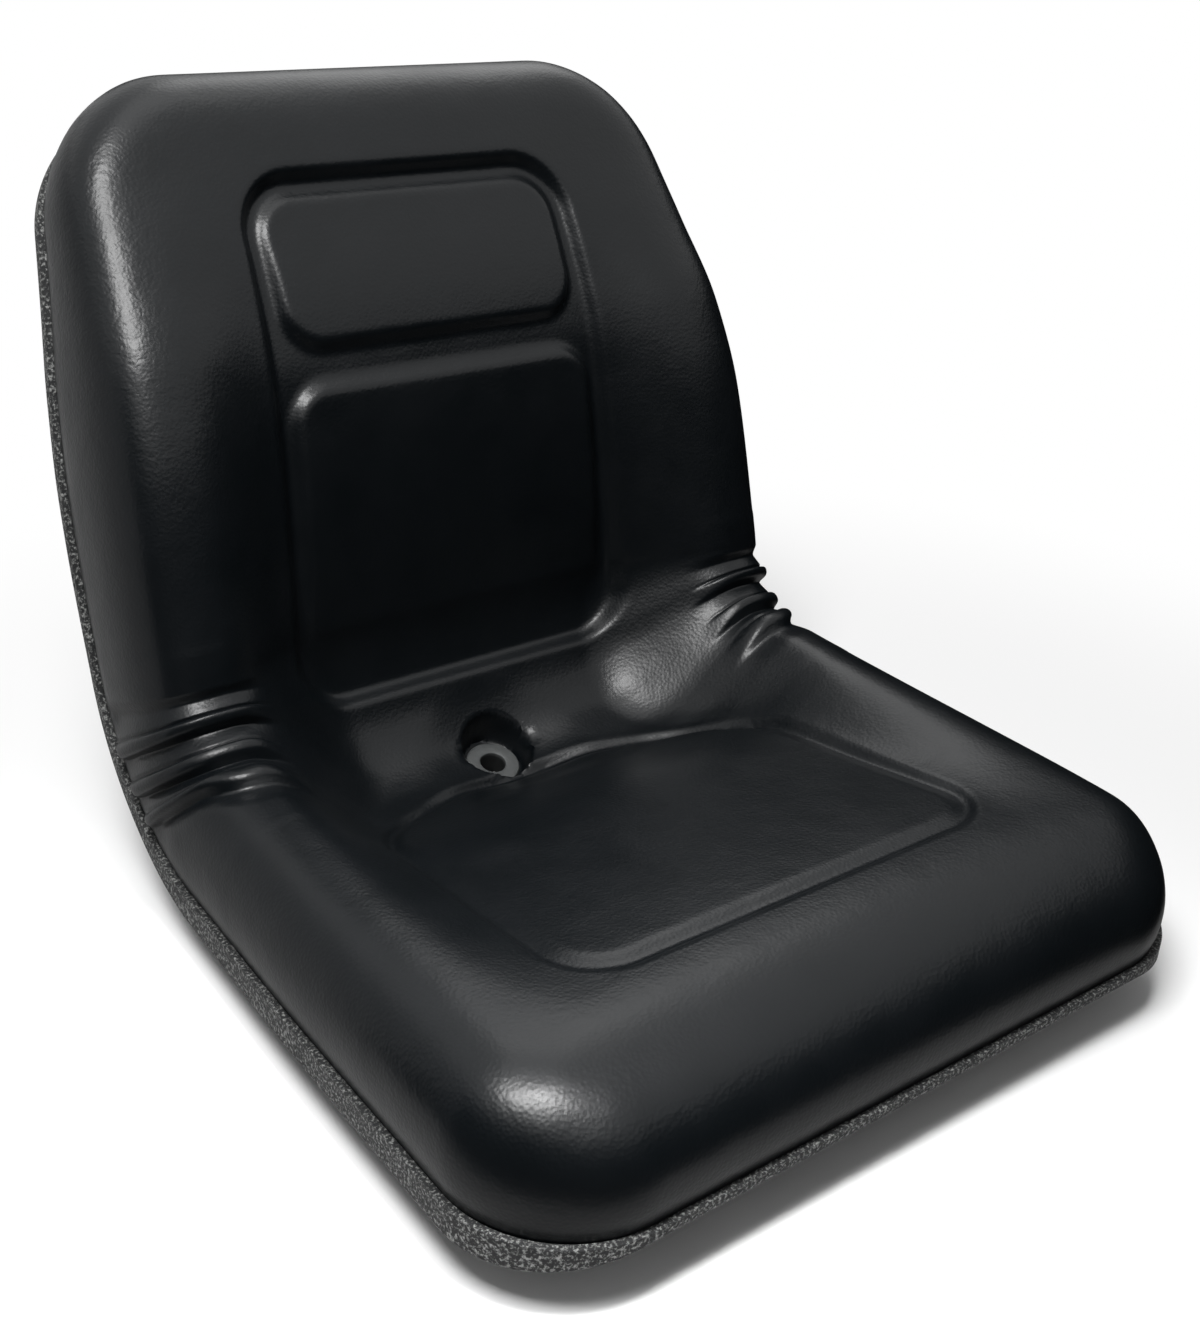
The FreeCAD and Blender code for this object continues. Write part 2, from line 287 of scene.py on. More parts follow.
def colour(code):
    """Linear colour from an sRGB hex code."""
    parts = [int(code[index:index + 2], 16) / 255.0 for index in (1, 3, 5)]
    return [part / 12.92 if part <= 0.04045 else ((part + 0.055) / 1.055) ** 2.4 for part in parts] + [1.0]


def new_material(name, inputs):
    """New material with its node tree and shader; the inputs are the values that hold all over it."""
    material = bpy.data.materials.new(name)
    material.use_nodes = True
    shader = material.node_tree.nodes["Principled BSDF"]
    for socket, value in inputs.items():
        shader.inputs[socket].default_value = value
    return material, material.node_tree, shader


def link_finish(tree, shader, base, rough, bump):
    """Links a surface's colour, roughness and bump to its shader."""
    tree.links.new(base.outputs["Result"], shader.inputs["Base Color"])
    tree.links.new(rough.outputs["Result"], shader.inputs["Roughness"])
    tree.links.new(bump.outputs["Normal"], shader.inputs["Normal"])


# Polypropylene from a spark-eroded mould: a matt black with a hard sandy grain, whose peaks are painted pale
# grey as a painted highlight where the grain catches light.
# The grain is about 0.7 mm on the real pan; it is drawn at 1.8 mm so that it shows.
pan_plastic, pan_tree, pan_shader = new_material("polypropylene_textured", {"IOR": 1.49})
pan_grain_size = 1.8
pan_place = add_node(pan_tree, "ShaderNodeTexCoord", {})
pan_grain = add_node(pan_tree, "ShaderNodeTexNoise", {
    "Vector": pan_place.outputs["Object"], "Scale": 1000.0 / pan_grain_size,
    "Detail": 3.0, "Roughness": 0.65})
# Painted highlight: the top of the grain noise is painted pale grey, in place of the light that the grain's
# peaks catch.
pan_painted_glint = add_node(pan_tree, "ShaderNodeMapRange", {
    "Value": pan_grain.outputs["Fac"], "From Min": 0.5, "From Max": 0.68})
pan_colour = add_node(pan_tree, "ShaderNodeMix", {
    "Factor": pan_painted_glint.outputs["Result"], "A": colour("#191a1b"), "B": colour("#8f908e")},
    data_type="RGBA")
pan_bump = add_node(pan_tree, "ShaderNodeBump", {
    "Height": pan_grain.outputs["Fac"], "Strength": 0.8, "Distance": 0.6 * mm})
pan_rough = add_node(pan_tree, "ShaderNodeMapRange", {
    "Value": pan_grain.outputs["Fac"], "From Min": 0.3, "From Max": 0.7, "To Min": 0.75, "To Max": 0.5})
link_finish(pan_tree, pan_shader, pan_colour, pan_rough, pan_bump)

tray = bmesh.new()
formed_grid(tray, tray_columns, tray_rows, tray_skin)
drain_area = [vert for vert in tray.verts if by_drain(vert.co)]
spout = [vert for vert in drain_area if beside_drain(vert.co).length < spout_radius]
bmesh.ops.delete(tray, geom=spout, context="VERTS")
for vert in drain_area:
    if vert.is_valid and vert.is_boundary:
        aside = beside_drain(vert.co)
        vert.co += aside.normalized() * (spout_radius - aside.length)
bmesh.ops.solidify(tray, geom=tray.faces[:], thickness=-pan_wall)
bmesh.ops.recalc_face_normals(tray, faces=tray.faces)
pan_parts = [tray]
for rib_x in (-rib_side, -bolt_x, 0.0, bolt_x, rib_side):
    pan_parts.append(rib(rib_x - rib_half, rib_x + rib_half, rib_front - rib_half, rib_rear + rib_half))
for rib_y in (rib_front, -bolt_y, 0.0, bolt_y, rib_rear):
    pan_parts.append(rib(-rib_side - rib_half, rib_side + rib_half, rib_y - rib_half, rib_y + rib_half))
boss_profile = [(boss_radius, boss_top), (boss_radius, 0.0), (flange_seat_radius, 0.0),
                (flange_seat_radius, flange_seat_depth), (insert_hole_radius, flange_seat_depth),
                (insert_hole_radius, insert_hole_depth), (0.0, insert_hole_depth)]
for bolt in ((-bolt_x, -bolt_y), (-bolt_x, bolt_y), (bolt_x, -bolt_y), (bolt_x, bolt_y)):
    pan_parts.append(turned(boss_profile, boss_steps, Matrix.Translation((*bolt, 0.0))))
seat_pan = add_piece("pan_tray", joined(pan_parts), pan_plastic)
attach(seat_pan, "root")
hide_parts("seat_pan")

# Mount inserts: four threaded bushes pressed into the bosses of the pan, for the seat bolts.
# They are turned steel with a bright zinc plating, flush with the mounting plane.
# Zinc plate on turned steel: a pale cool grey, clear reflections drawn out by fine turning marks.
zinc_steel, zinc_tree, zinc_shader = new_material("zinc_plated_steel", {"Metallic": 1.0})
turning_pitch = 0.8
zinc_cloud_size = 4.0
zinc_place = add_node(zinc_tree, "ShaderNodeTexCoord", {})
zinc_marks = add_node(zinc_tree, "ShaderNodeTexWave", {
    "Vector": zinc_place.outputs["Object"], "Scale": 1000.0 / turning_pitch / math.tau, "Distortion": 1.0},
    bands_direction="Z")
zinc_cloud = add_node(zinc_tree, "ShaderNodeTexNoise", {
    "Vector": zinc_place.outputs["Object"], "Scale": 1000.0 / zinc_cloud_size, "Detail": 3.0})
zinc_colour = add_node(zinc_tree, "ShaderNodeMix", {
    "Factor": zinc_cloud.outputs["Fac"], "A": colour("#a9adb1"), "B": colour("#c9cccf")}, data_type="RGBA")
zinc_rough = add_node(zinc_tree, "ShaderNodeMapRange", {
    "Value": zinc_cloud.outputs["Fac"], "To Min": 0.22, "To Max": 0.42})
zinc_bump = add_node(zinc_tree, "ShaderNodeBump", {
    "Height": zinc_marks.outputs["Fac"], "Strength": 0.3, "Distance": 0.05 * mm})
link_finish(zinc_tree, zinc_shader, zinc_colour, zinc_rough, zinc_bump)
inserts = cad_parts["mount_inserts"]
inserts.data.materials.clear()
inserts.data.materials.append(zinc_steel)

# Seat cushion: one piece of moulded foam with a seamless vinyl skin, dropped into the pan up to its seam.
# Side bolsters run from the nose to the top, pleated where the seat turns up into the back; the back has
# a recess with two pads, the seat a panel framed by a groove, and a funnel leads rain to the drain.
bolsters = [(0, 60), (65, 67), (120, 68), (200, 68), (300, 70), (342, 73), (400, 80), (450, 87), (545, 92),
            (604, 94), (661, 89), (715, 74), (770, 62), (823, 57)]
hollows = [(0, 60), (65, 67), (89, 65), (200, 48), (255, 40), (300, 26), (330, 14), (358, 9), (380, 10),
           (410, 17), (439, 27), (500, 45), (560, 57), (620, 66), (660, 70), (700, 68), (760, 62), (823, 56)]
hollow_edges = [(89, 140), (280, 130), (390, 84), (430, 88), (500, 107), (650, 110), (770, 105), (818, 105)]
crest_inset = 38.0
wall_height = 20.0
wall_bulge = 4.0
top_bulge = 5.0
front_corner_pull = 3.0
top_corner_push = 1.5
side_round = 42.0
seat_squareness = 0.1
back_squareness = 0.2
front_round = 58.0
top_round = 42.0
tuck_angle = math.radians(28.0)
seam_sink = 2.0
seam_clearance = 1.0
round_start = 0.3
recess_foot = 439.0
recess_top = 762.0
recess_corner = 34.0
recess_halves = [(recess_foot, 123.5), (recess_top, 112)]
recess_depths = [(recess_foot, 8.5), (500, 7), (600, 6.5), (720, 7), (770, 9)]
recess_softness = [(recess_foot, 8.4), (500, 4.5), (700, 3.5), (recess_top, 3.5)]
pad_corner = 26.0
pad_rim = 1.0
upper_pad_half = 104.5
upper_pad_foot = 664.0
upper_pad_top = 753.0
upper_pad_round = 6.0
upper_pad_sink = 4.0
upper_pad_sink_run = 680.0
lower_pad_halves = [(455, 115), (650, 109)]
lower_pad_foot = 430.0
lower_pad_top = 649.0
lower_pad_round = 8.0
lower_pad_rise = (455.0, 590.0)
panel_front = 89.0
panel_rear_side = 298.0
panel_rear_half = 142.0
panel_halves = [(panel_front, 148.5), (panel_rear_side, panel_rear_half)]
panel_bow = 58.0
panel_corner = 38.0
groove_depths = [(panel_front, 3.5), (240, 3.5), (300, 5.5), (360, 5.5)]
groove_outside = 3.5
groove_inside = -2.5
panel_swell = 0.7
panel_swell_end = -15.0
pleat_gaps = [-8.0, 7.0, 31.0, 54.0]
pleat_depth = 7.5
pleat_cut = 0.4
pleat_fade = 9.0
pleat_wall_fade = (-20.0, 0.0)
pleat_sweep = 75.0
pleat_sweeps = [(230, 0), (315, 1), (352, 0.88), (415, 0.45), (455, 0.2), (500, 0)]
pleat_inner = 168.0
pleat_taper = 14.0
facet_share = 0.5
facet_rise = 0.55
crease_place = 0.53
crease_width = 0.045
crease_cut = 0.2
bead_place = 0.76
bead_half = 0.22
bead_rise = 0.45
bead_foot = 0.93
drain_depth = 14.2
bowl_run = 368.0
bowl_cut = 7.0
bowl_foot_radius = 14.0
bowl_radius = 62.0
well_foot_radius = 18.6
well_radius = 25.5
drain_hole_radius = 12.2
cushion_columns = 226
cushion_rows = 404
cushion_side_share = 0.42
cushion_end_share = 0.24
core_columns = [(0.14, 0.14), (0.26, 0.53)]
core_rows = [(-0.34, 295), (0.16, 465)]
plug_columns = 32
plug_rows = 80
plug_side_share = 0.3
plug_end_share = 0.2
plug_inset = 3.0
plug_drop = 3.0
plug_fill = 0.7
plug_floor_share = 0.8
plug_hole_radius = 16.0


def plate_edge(x, run, half, low, high, corner):
    """Distance from the rim of a plate with rounded corners, negative inside it."""
    side = np.abs(x) - half + corner
    end = np.abs(run - 0.5 * (low + high)) - 0.5 * (high - low) + corner
    outside = np.hypot(np.maximum(side, 0.0), np.maximum(end, 0.0))
    return outside + np.minimum(np.maximum(side, end), 0.0) - corner


def recess_lift(x, run):
    """Lift of the skin by the recess of the back and its two pads; the upper pad sinks towards its top."""
    softness = eased(run, recess_softness)
    recess_edge = plate_edge(x, run, eased(run, recess_halves), recess_foot, recess_top, recess_corner)
    recess = ramp(softness, -softness, recess_edge)
    upper_edge = plate_edge(x, run, upper_pad_half, upper_pad_foot, upper_pad_top, pad_corner)
    upper_pad = ramp(pad_rim, -upper_pad_round, upper_edge)
    lower_half = eased(run, lower_pad_halves)
    lower_edge = plate_edge(x, run, lower_half, lower_pad_foot, lower_pad_top, pad_corner)
    lower_pad = ramp(pad_rim, -lower_pad_round, lower_edge) * ramp(*lower_pad_rise, run)
    ring = recess * (1.0 - np.maximum(upper_pad, lower_pad))
    sink = upper_pad_sink * ramp(upper_pad_sink_run, upper_pad_top, run) * upper_pad
    return -eased(run, recess_depths) * ring - sink


def panel_lift(x, run):
    """Lift of the skin by the groove that frames the seat panel, which swells back inside it."""
    panel_rear = panel_rear_side + panel_bow * (1.0 - np.minimum(np.abs(x) / panel_rear_half, 1.0) ** 2)
    panel_edge = plate_edge(x, run, eased(run, panel_halves), panel_front, panel_rear, panel_corner)
    groove = ramp(groove_outside, groove_inside, panel_edge)
    swell = panel_swell * ramp(groove_inside, panel_swell_end, panel_edge)
    return -eased(run, groove_depths) * (groove - swell)


def pleats(x, run):
    """Lift of the skin by the pleats in the bend: a sloping facet, a crease, a bead with a steep foot."""
    turned_by = np.degrees((run - seat_run) / bend_radius)
    place = np.interp(turned_by, pleat_gaps, np.arange(len(pleat_gaps))[::-1])
    past = np.maximum(turned_by - pleat_gaps[-1], 0.0) + np.maximum(pleat_gaps[0] - turned_by, 0.0)
    step = place - np.floor(place)
    facet = facet_rise * np.clip(step / facet_share, 0.0, 1.0)
    crease = -crease_cut * np.exp(-((step - crease_place) / crease_width) ** 2)
    bead = bead_rise * np.sqrt(np.clip(1.0 - ((step - bead_place) / bead_half) ** 2, 0.0, 1.0))
    drop = -facet_rise * ramp(bead_foot, 1.0, step)
    fold = facet + crease + bead + drop - pleat_cut
    pattern = np.where(past > 0.0, -pleat_cut * (1.0 - ramp(0.0, pleat_fade, past)), fold)
    return pleat_depth * pattern * ramp(pleat_inner - pleat_taper, pleat_inner + pleat_taper, np.abs(x))


def cushion_form(u, v):
    """x, run and height of the skin, before it is set on the seam line."""
    across, run, out_x, out_run, angle, share = seat_sheet(
        u, v, cushion_side_share, cushion_end_share, core_columns, core_rows)
    at_side = np.cos(angle) ** 2
    at_end = 1.0 - at_side
    front = v < 0.0
    corner = np.sin(2.0 * angle) ** 2
    round_share = np.clip((share - round_start) / (1.0 - round_start), 0.0, 1.0)
    lean = math.pi / 2 - (math.pi / 2 + tuck_angle) * round_share
    front_bulge = -front_corner_pull * corner
    back_bulge = top_bulge * at_end + top_corner_push * corner
    bulge = wall_bulge + np.where(front, front_bulge, back_bulge)
    edge_round = side_round + (np.where(front, front_round, top_round) - side_round) * at_end ** 2
    flat = outline_corner + bulge - edge_round
    widest = flat + edge_round
    tucked = (1.0 - np.cos(lean)) / (1.0 - math.cos(tuck_angle))
    below = widest + (outline_corner - seam_clearance - widest) * tucked
    power = 1.0 - seat_squareness - back_squareness * at_side * ramp(seat_run, back_run, run)
    swept = np.clip(np.cos(lean), 0.0, 1.0) ** power
    reach = np.where(lean >= 0.0, flat + edge_round * swept, below)
    reach = np.where(share < round_start, flat * share / round_start, reach)
    row = run
    run = row + pleat_sweep * ramp(round_start, 1.0, share) * np.interp(row, *np.transpose(pleat_sweeps))
    held_run = np.clip(run + out_run * reach, 0.0, top_run)
    x = core_x(across, held_run) + out_x * reach
    crest = eased(held_run, half_widths) - crest_inset
    bolster = ramp(eased(held_run, hollow_edges), crest, np.abs(x))
    height = eased(held_run, hollows) * (1.0 - bolster) + eased(held_run, bolsters) * bolster
    lift = recess_lift(x, held_run) + panel_lift(x, held_run)
    fold = pleats(x, row) * ramp(*pleat_wall_fade, np.degrees(lean))
    rise = np.clip(np.sin(lean), 0.0, 1.0) ** power
    above_wall = wall_height + (height - wall_height + lift) * rise + fold * rise
    under_wall = wall_height + (wall_height + seam_sink) * np.sin(lean) / math.sin(tuck_angle)
    height = np.where(lean >= 0.0, above_wall, under_wall)
    reach = reach + fold * np.maximum(np.cos(lean), 0.0) * (share > round_start)
    run = run + out_run * reach
    x = core_x(across, held_run) + out_x * reach
    bowl = 1.0 - ramp(bowl_foot_radius, bowl_radius, np.hypot(x, run - bowl_run))
    height = height - bowl_cut * bowl
    well = 1.0 - ramp(well_foot_radius, well_radius, np.hypot(x, run - drain_run))
    height = height - (height + drain_depth) * well
    return x, run, height


def cushion_skin(u, v):
    """Upper side of the cushion, from seam to seam."""
    return set_on_seam(*cushion_form(u, v))


def plug_skin(u, v):
    """Underside of the cushion, which fills the tray."""
    across, run, out_x, out_run, _, share = seat_sheet(u, v, plug_side_share, plug_end_share, [], bend_rows)
    reach = (outline_corner - plug_inset) * share
    run = run + out_run * reach
    filled = end_depth(run, 0.0) * sum(band_and_drop(run)) * ramp(0.0, plug_floor_share, 1.0 - share)
    return set_on_seam(core_x(across, run) + out_x * reach, run, -filled * plug_fill - plug_drop)


# Vinyl over foam, moulded in one: black with a soft sheen and a fine leather grain, slack in small creases
# down the bolsters. The grain is about 0.8 mm on the real skin; it is drawn at 2 mm so that it shows.
vinyl, vinyl_tree, vinyl_shader = new_material("vinyl_leather_grain", {
    "IOR": 1.52, "Specular IOR Level": 0.3})
grain_size = 2.0
crease_size = 4.5
cloud_size = 45.0
slack_size = 26.0
creased_side = (150.0, 185.0)
creased_height = (200.0, 320.0)
vinyl_place = add_node(vinyl_tree, "ShaderNodeTexCoord", {})
vinyl_grain = add_node(vinyl_tree, "ShaderNodeTexVoronoi", {
    "Vector": vinyl_place.outputs["Object"], "Scale": 1000.0 / grain_size, "Smoothness": 0.6},
    feature="SMOOTH_F1")
vinyl_slack = add_node(vinyl_tree, "ShaderNodeTexNoise", {
    "Vector": vinyl_place.outputs["Object"], "Scale": 1000.0 / slack_size, "Detail": 2.0})
vinyl_cloud = add_node(vinyl_tree, "ShaderNodeTexNoise", {
    "Vector": vinyl_place.outputs["Object"], "Scale": 1000.0 / cloud_size, "Detail": 4.0, "Roughness": 0.6})
vinyl_colour = add_node(vinyl_tree, "ShaderNodeMix", {
    "Factor": vinyl_cloud.outputs["Fac"], "A": colour("#05080a"), "B": colour("#0a0d10")}, data_type="RGBA")
vinyl_rough = add_node(vinyl_tree, "ShaderNodeMapRange", {
    "Value": vinyl_cloud.outputs["Fac"], "From Min": 0.3, "From Max": 0.7, "To Min": 0.31, "To Max": 0.37})
slack_bump = add_node(vinyl_tree, "ShaderNodeBump", {
    "Height": vinyl_slack.outputs["Fac"], "Strength": 0.35, "Distance": 1.2 * mm})
vinyl_axes = add_node(vinyl_tree, "ShaderNodeSeparateXYZ", {"Vector": vinyl_place.outputs["Object"]})
vinyl_aside = add_node(vinyl_tree, "ShaderNodeMath", {0: vinyl_axes.outputs["X"]}, operation="ABSOLUTE")
vinyl_bolster = add_node(vinyl_tree, "ShaderNodeMapRange", {
    "Value": vinyl_aside.outputs[0], "From Min": creased_side[0] * mm, "From Max": creased_side[1] * mm})
vinyl_creased = add_node(vinyl_tree, "ShaderNodeMapRange", {
    "Value": vinyl_axes.outputs["Z"], "From Min": creased_height[0] * mm, "From Max": creased_height[1] * mm,
    "To Max": vinyl_bolster.outputs["Result"]})
vinyl_crease = add_node(vinyl_tree, "ShaderNodeTexNoise", {
    "Vector": vinyl_place.outputs["Object"], "Scale": 1000.0 / crease_size, "Detail": 2.0,
    "Distortion": 0.6})
crease_bump = add_node(vinyl_tree, "ShaderNodeBump", {
    "Height": vinyl_crease.outputs["Fac"], "Strength": vinyl_creased.outputs["Result"],
    "Distance": 0.22 * mm, "Normal": slack_bump.outputs["Normal"]})
grain_bump = add_node(vinyl_tree, "ShaderNodeBump", {
    "Height": vinyl_grain.outputs["Distance"], "Strength": 0.4, "Distance": 0.25 * mm,
    "Normal": crease_bump.outputs["Normal"]})
link_finish(vinyl_tree, vinyl_shader, vinyl_colour, vinyl_rough, grain_bump)

soft_rounds = 16
soft_side = 166.0
soft_front = 76.0
soft_top = 772.0
pleated_runs = (285.0, 515.0)
nose_corner_side = 150.0
nose_corner_run = 150.0
nose_side_step = 1.5
nose_run_step = 4.0
back_rounds = 2
funnel_radius = 36.0


def open_rim(bm, verts, at_drain):
    """Open edges of a sheet, at the drain hole or around its outside."""
    own = set(verts)
    rim = [edge for edge in bm.edges if edge.is_boundary and edge.verts[0] in own]
    return [edge for edge in rim if by_drain(edge.verts[0].co) == at_drain]


def soften(bm, verts, flat):
    """Evens out the skin: a little over the back, fully at rounded edges, wider at the nose's corners."""
    x, run, _ = cushion_form(flat[:, 0], flat[:, 1])
    pleated = (run > pleated_runs[0]) & (run < pleated_runs[1])
    edge = ((np.abs(x) > soft_side) & ~pleated) | (run < soft_front) | (run > soft_top)
    back_face = (run > pleated_runs[0]) & (np.hypot(x, run - drain_run) > funnel_radius)
    for step in range(soft_rounds):
        beyond = np.abs(x) > nose_corner_side + nose_side_step * step
        nose_corner = beyond & (run < nose_corner_run - nose_run_step * step)
        taken = edge | nose_corner | (back_face & (step < back_rounds))
        moved = [vert for vert, take in zip(verts, taken) if take and not vert.is_boundary]
        bmesh.ops.smooth_vert(bm, verts=moved, factor=0.5,
                              use_axis_x=True, use_axis_y=True, use_axis_z=True)


def pierce(bm, sheet, radius):
    """Cuts the drain hole in a sheet, and gives the points that are left."""
    loose = [vert for vert in sheet if by_drain(vert.co) and beside_drain(vert.co).length < radius]
    bmesh.ops.delete(bm, geom=loose, context="VERTS")
    return [vert for vert in sheet if vert.is_valid]


cushion_mesh = bmesh.new()
skin, skin_flat = formed_grid(cushion_mesh, cushion_columns, cushion_rows, cushion_skin)
soften(cushion_mesh, skin, skin_flat)
skin = pierce(cushion_mesh, skin, drain_hole_radius)
plug, _ = formed_grid(cushion_mesh, plug_columns, plug_rows, plug_skin)
plug = pierce(cushion_mesh, plug, plug_hole_radius)
for at_drain in (False, True):
    rims = open_rim(cushion_mesh, skin, at_drain) + open_rim(cushion_mesh, plug, at_drain)
    bmesh.ops.bridge_loops(cushion_mesh, edges=rims)
bmesh.ops.recalc_face_normals(cushion_mesh, faces=cushion_mesh.faces)
cushion = add_piece("cushion", cushion_mesh, vinyl)
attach(cushion, "root")
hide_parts("seat_cushion")

# Drain bush: an eyelet with a rounded flange at the foot of the back, pushed through cushion and pan.
# It is moulded in mid grey polyethylene, dull with dust, and lets rain water run out below.
flange_face = -11.0
flange_radius = 18.0
flange_thickness = 3.0
barrel_radius = 11.5
bore_radius = 8.4
bush_foot = -32.8
bush_steps = 64

# Polyethylene with a waxy, dusty grey skin, a little paler where the dust lies; the bore is painted black as
# painted shade.
bush_plastic, bush_tree, bush_shader = new_material("polyethylene_grey", {"IOR": 1.51})
dust_size = 3.0
bore_shade_depths = (3.0, 0.3)
bush_coords = add_node(bush_tree, "ShaderNodeTexCoord", {})
bush_dust = add_node(bush_tree, "ShaderNodeTexNoise", {
    "Vector": bush_coords.outputs["Object"], "Scale": 1000.0 / dust_size, "Detail": 4.0, "Roughness": 0.7})
bush_colour = add_node(bush_tree, "ShaderNodeMix", {
    "Factor": bush_dust.outputs["Fac"], "A": colour("#2a2c2c"), "B": colour("#4e5050")}, data_type="RGBA")
# Painted shade: the bore turns near black from 0.3 mm to 3 mm inside its mouth, in place of the shade that
# falls in it.
bush_along = add_node(bush_tree, "ShaderNodeVectorMath", {
    0: bush_coords.outputs["Object"], 1: drain_axis}, operation="DOT_PRODUCT")
bush_mouth = mm * (drain_centre.dot(drain_axis) + flange_face)
bush_unshaded = add_node(bush_tree, "ShaderNodeMapRange", {
    "Value": bush_along.outputs["Value"],
    "From Min": bush_mouth - bore_shade_depths[0] * mm, "From Max": bush_mouth - bore_shade_depths[1] * mm})
bush_colour_and_bore_shade = add_node(bush_tree, "ShaderNodeMix", {
    "Factor": bush_unshaded.outputs["Result"], "A": colour("#060707"), "B": bush_colour.outputs["Result"]},
    data_type="RGBA")
bush_rough = add_node(bush_tree, "ShaderNodeMapRange", {
    "Value": bush_dust.outputs["Fac"], "To Min": 0.45, "To Max": 0.75})
bush_bump = add_node(bush_tree, "ShaderNodeBump", {
    "Height": bush_dust.outputs["Fac"], "Strength": 0.3, "Distance": 0.2 * mm})
link_finish(bush_tree, bush_shader, bush_colour_and_bore_shade, bush_rough, bush_bump)

flange_back = flange_face - flange_thickness
bush_profile = [(bore_radius, bush_foot), (bore_radius, flange_face - 1.2),
                (bore_radius + 0.4, flange_face - 0.4), (bore_radius + 1.4, flange_face),
                (flange_radius - 1.8, flange_face), (flange_radius - 0.6, flange_face - 0.4),
                (flange_radius, flange_face - 1.4), (flange_radius, flange_back + 0.4),
                (flange_radius - 0.4, flange_back), (barrel_radius, flange_back),
                (barrel_radius, bush_foot), (bore_radius, bush_foot)]
drain_turn = Vector((0, 0, 1)).rotation_difference(drain_axis).to_matrix().to_4x4()
bush_place = Matrix.Translation(drain_centre) @ drain_turn
bush = add_piece("drain_eyelet", turned(bush_profile, bush_steps, bush_place), bush_plastic)
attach(bush, "root")
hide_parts("drain_bush")

# Studio: a plain white floor under a white surround, with a soft lamp from the upper left, a small one on
# the nose, one overhead and one from behind. A ring of black card around the seat, slatted at the left
# back, and a grey mat under it are seen only in reflections, so that black stays black.
floor_half = 6000.0
floor_fade = (250.0, 850.0)
card_centre_y = 100.0
card_radius = 430.0
card_top_radius = 980.0
card_height = 700.0
card_segments = 96
card_lift = 1.0
mat_lift = 0.3
slats_left_of = -60.0
slats_behind = 180.0
surround_level = 0.22


def matt_paper(name, code):
    """Paper or card in one colour, with no shine."""
    return new_material(name, {"Base Color": colour(code), "Roughness": 1.0, "Specular IOR Level": 0.0})


def seen_rays(tree):
    """Socket that is 1 for camera, glossy and transmission rays, and 0 for those that only carry light."""
    rays = add_node(tree, "ShaderNodeLightPath", {})
    seen = add_node(tree, "ShaderNodeMath", {
        0: rays.outputs["Is Camera Ray"], 1: rays.outputs["Is Glossy Ray"]}, operation="MAXIMUM")
    seen_through = add_node(tree, "ShaderNodeMath", {
        0: seen.outputs[0], 1: rays.outputs["Is Transmission Ray"]}, operation="MAXIMUM")
    return seen_through.outputs[0]


white_paper, paper_tree, paper_shader = matt_paper("white_paper", "#f6f6f6")
paper_place = add_node(paper_tree, "ShaderNodeTexCoord", {})
paper_reach = add_node(paper_tree, "ShaderNodeVectorMath", {
    0: paper_place.outputs["Object"]}, operation="LENGTH")
paper_far = add_node(paper_tree, "ShaderNodeMapRange", {
    "Value": paper_reach.outputs["Value"], "From Min": floor_fade[0] * mm, "From Max": floor_fade[1] * mm},
    interpolation_type="SMOOTHSTEP")
paper_share = add_node(paper_tree, "ShaderNodeMath", {
    0: paper_far.outputs["Result"], 1: seen_rays(paper_tree)}, operation="MULTIPLY")
paper_white = add_node(paper_tree, "ShaderNodeEmission", {"Color": colour("#ffffff"), "Strength": 1.0})
paper_mix = add_node(paper_tree, "ShaderNodeMixShader", {
    "Fac": paper_share.outputs[0], 1: paper_shader.outputs["BSDF"], 2: paper_white.outputs["Emission"]})
paper_tree.links.new(paper_mix.outputs["Shader"], paper_tree.nodes["Material Output"].inputs["Surface"])
floor_mesh = bmesh.new()
bmesh.ops.create_grid(floor_mesh, x_segments=1, y_segments=1, size=floor_half)
floor = add_piece("floor", floor_mesh, white_paper)

black_card, _, _ = matt_paper("black_card", "#0a0a0a")
card_mesh = bmesh.new()
bmesh.ops.create_cone(card_mesh, cap_ends=False, segments=card_segments, radius1=card_radius,
                      radius2=card_top_radius, depth=card_height,
                      matrix=Matrix.Translation((0.0, card_centre_y, 0.5 * card_height + card_lift)))
slats = [face for face in card_mesh.faces
         if face.calc_center_median().x < slats_left_of and face.calc_center_median().y > slats_behind]
bmesh.ops.delete(card_mesh, geom=slats[::2], context="FACES")
card = add_piece("card_ring", card_mesh, black_card)
grey_card, _, _ = matt_paper("grey_card", "#9a9a9a")
mat_mesh = bmesh.new()
bmesh.ops.create_circle(mat_mesh, cap_ends=True, segments=card_segments, radius=card_radius,
                        matrix=Matrix.Translation((0.0, card_centre_y, mat_lift)))
mat = add_piece("card_mat", mat_mesh, grey_card)
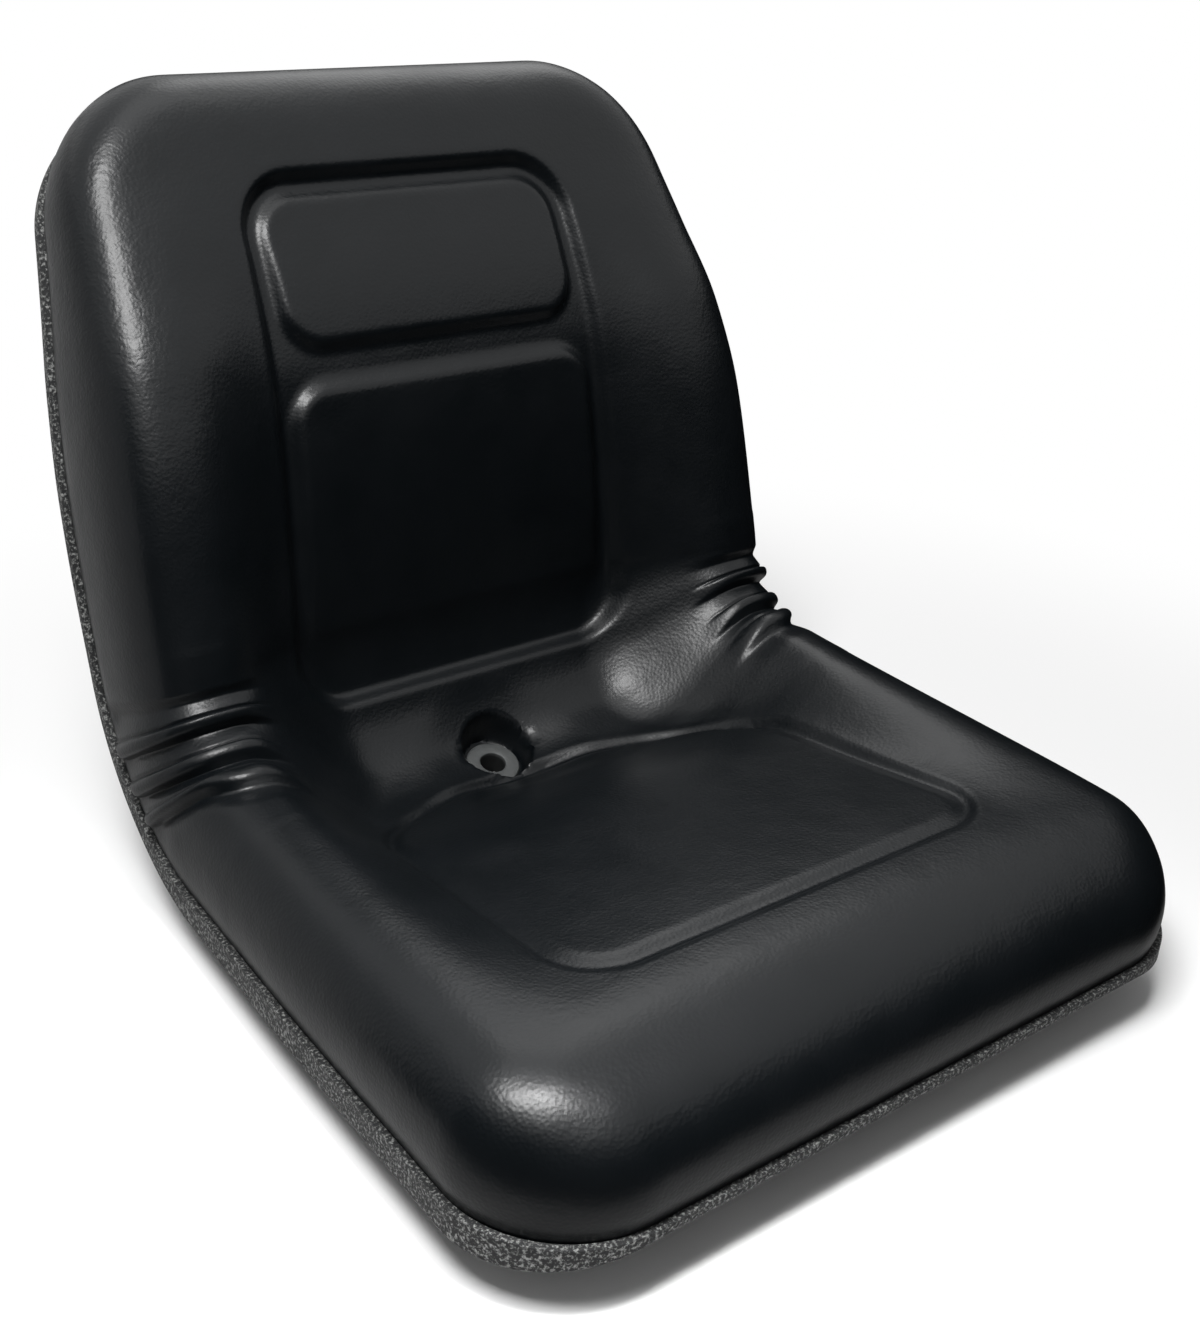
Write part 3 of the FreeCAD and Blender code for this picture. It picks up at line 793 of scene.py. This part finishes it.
for reflected in (card, mat):
    reflected.visible_camera = False
    reflected.visible_diffuse = False
    reflected.visible_transmission = False
    reflected.visible_shadow = False

world = bpy.data.worlds.new("studio")
bpy.context.scene.world = world
world.use_nodes = True
world_tree = world.node_tree
surround = world_tree.nodes["Background"]
surround.inputs["Color"].default_value = colour("#ffffff")
level = add_node(world_tree, "ShaderNodeMapRange", {
    "Value": seen_rays(world_tree), "To Min": surround_level, "To Max": 1.0})
world_tree.links.new(level.outputs["Result"], surround.inputs["Strength"])


def soft_lamp(name, place, target, size, power, spread=180.0):
    """Square soft lamp at a place, turned to a target, in metres, watts and degrees."""
    light = bpy.data.lights.new(name, "AREA")
    light.shape = "SQUARE"
    light.size = size
    light.energy = power
    light.spread = math.radians(spread)
    lamp = bpy.data.objects.new(name, light)
    lamp.location = place
    lamp.rotation_mode = "QUATERNION"
    lamp.rotation_quaternion = (Vector(target) - Vector(place)).to_track_quat("-Z", "Y")
    bpy.context.scene.collection.objects.link(lamp)


soft_lamp("key", (-0.6, -0.27, 1.48), (0.0, 0.05, 0.2), 0.5, 24.0)
soft_lamp("nose", (-0.23, -0.35, 1.42), (-0.2, -0.16, 0.1), 0.2, 0.75, 40.0)
soft_lamp("overhead", (0.1, 0.3, 1.8), (0.0, 0.1, 0.2), 0.8, 3.0)
soft_lamp("rear", (0.7, 1.0, 1.45), (0.0, 0.0, 0.1), 0.8, 4.0)

# The camera's place is in metres, like those of the lamps.
camera_place = (-0.53095, -0.59519, 0.58659)
camera_look = Vector((0.55229, 0.70230, -0.44916))
camera_roll = math.radians(3.035)
camera = bpy.data.objects.new("camera", bpy.data.cameras.new("camera"))
camera.data.sensor_width = 36.0
camera.data.lens = 44.46
camera.location = camera_place
camera.rotation_mode = "QUATERNION"
camera.rotation_quaternion = camera_look.to_track_quat("-Z", "Y") @ Quaternion((0, 0, 1), camera_roll)
bpy.context.scene.collection.objects.link(camera)
bpy.context.scene.camera = camera
bpy.context.scene.view_settings.view_transform = "Standard"
